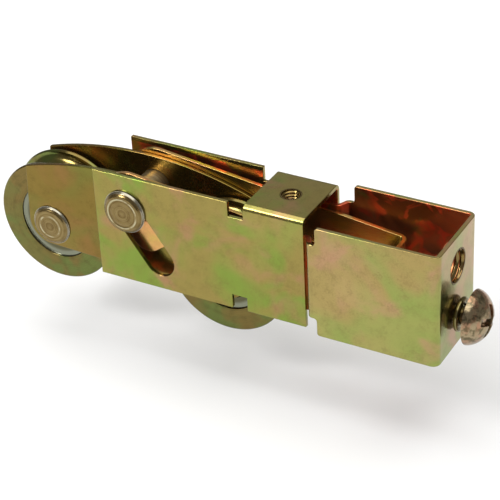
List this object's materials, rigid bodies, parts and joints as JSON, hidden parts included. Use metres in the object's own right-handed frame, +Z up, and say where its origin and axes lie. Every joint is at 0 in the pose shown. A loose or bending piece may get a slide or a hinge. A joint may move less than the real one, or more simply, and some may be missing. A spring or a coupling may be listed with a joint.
{
  "type": "sliding door roller",
  "caption": "Tandem sliding door roller: two grooved ball-bearing wheels on a rocking carriage in a plated steel housing, with a screw that sets the height.",
  "frame": {"origin": "centre of the tapped hole in the top of the sleeve, on its top face", "axes": "+X along the roller towards the adjusting screw, +Y across it, +Z up, away from the rail"},
  "size_m": [0.1545, 0.0258, 0.0469],
  "materials": {
    "yellow_zinc": "yellow dichromate zinc plate, olive gold with green and pink tints",
    "yellow_zinc_inside": "yellow dichromate zinc plate, darker and browner",
    "rivet": "spun rivet head, tan silver",
    "screw": "plated screw, bronze grey and glossy",
    "wheel": "pressed plated steel, polished groove",
    "bearing_steel": "ground bearing steel"
  },
  "bodies": {
    "housing": {"housing_sleeve": "yellow_zinc", "end_bracket": "yellow_zinc"},
    "pivot": {"pivot_barrel": "rivet", "pivot_rivet": "rivet"},
    "carriage": {"carriage_plate_near": "yellow_zinc", "carriage_plate_far": "yellow_zinc", "axle_rivet_left": "rivet", "axle_rivet_right": "rivet", "inner_race_left": "bearing_steel", "inner_race_right": "bearing_steel"},
    "wheel_left": {"wheel_shell_near_left": "wheel", "wheel_shell_far_left": "wheel", "outer_race_left": "bearing_steel"},
    "wheel_right": {"wheel_shell_near_right": "wheel", "wheel_shell_far_right": "wheel", "outer_race_right": "bearing_steel"},
    "balls_left": {"bearing_balls_left": "bearing_steel"},
    "balls_right": {"bearing_balls_right": "bearing_steel"},
    "yoke": {"adjusting_yoke": "yellow_zinc_inside"},
    "nut": {"adjuster_nut": "screw"},
    "screw": {"adjusting_screw": "screw", "screw_retaining_ring": "screw"}
  },
  "joints": [
    {"name": "height_adjust", "type": "slide", "parent": "housing", "child": "pivot", "axis": [0.5835, 0, -0.8121], "range_m": [0, 0.0175]},
    {"name": "yoke_swing", "type": "hinge", "parent": "pivot", "child": "yoke", "pos_m": [-0.0473, 0, -0.0113], "axis": [0, 1, 0], "range_deg": [-10.8, 0.1]},
    {"name": "carriage_rock", "type": "hinge", "parent": "pivot", "child": "carriage", "pos_m": [-0.0473, 0, -0.0113], "axis": [0, 1, 0], "range_deg": [-4, 6]},
    {"name": "wheel_left_spin", "type": "hinge", "parent": "carriage", "child": "wheel_left", "pos_m": [-0.0764, 0, -0.02553], "axis": [0, 1, 0], "continuous": true},
    {"name": "wheel_right_spin", "type": "hinge", "parent": "carriage", "child": "wheel_right", "pos_m": [-0.01945, 0, -0.02785], "axis": [0, 1, 0], "continuous": true},
    {"name": "balls_left_roll", "type": "hinge", "parent": "carriage", "child": "balls_left", "pos_m": [-0.0764, 0, -0.02553], "axis": [0, 1, 0], "continuous": true},
    {"name": "balls_right_roll", "type": "hinge", "parent": "carriage", "child": "balls_right", "pos_m": [-0.01945, 0, -0.02785], "axis": [0, 1, 0], "continuous": true},
    {"name": "nut_draw", "type": "slide", "parent": "housing", "child": "nut", "axis": [1, 0, 0], "range_m": [-0.0001, 0.01159]},
    {"name": "screw_turn", "type": "hinge", "parent": "housing", "child": "screw", "pos_m": [0.0492, 0, -0.0247], "axis": [1, 0, 0], "range_deg": [-10, 3238]}
  ],
  "couplings": [
    {"joint": "yoke_swing", "follows": "height_adjust", "rad_per_m": -10.625},
    {"joint": "nut_draw", "follows": "height_adjust", "ratio": 0.65061},
    {"joint": "screw_turn", "follows": "height_adjust", "rad_per_m": 3218.8},
    {"joint": "balls_left_roll", "follows": "wheel_left_spin", "ratio": 0.623},
    {"joint": "balls_right_roll", "follows": "wheel_right_spin", "ratio": 0.623}
  ]
}
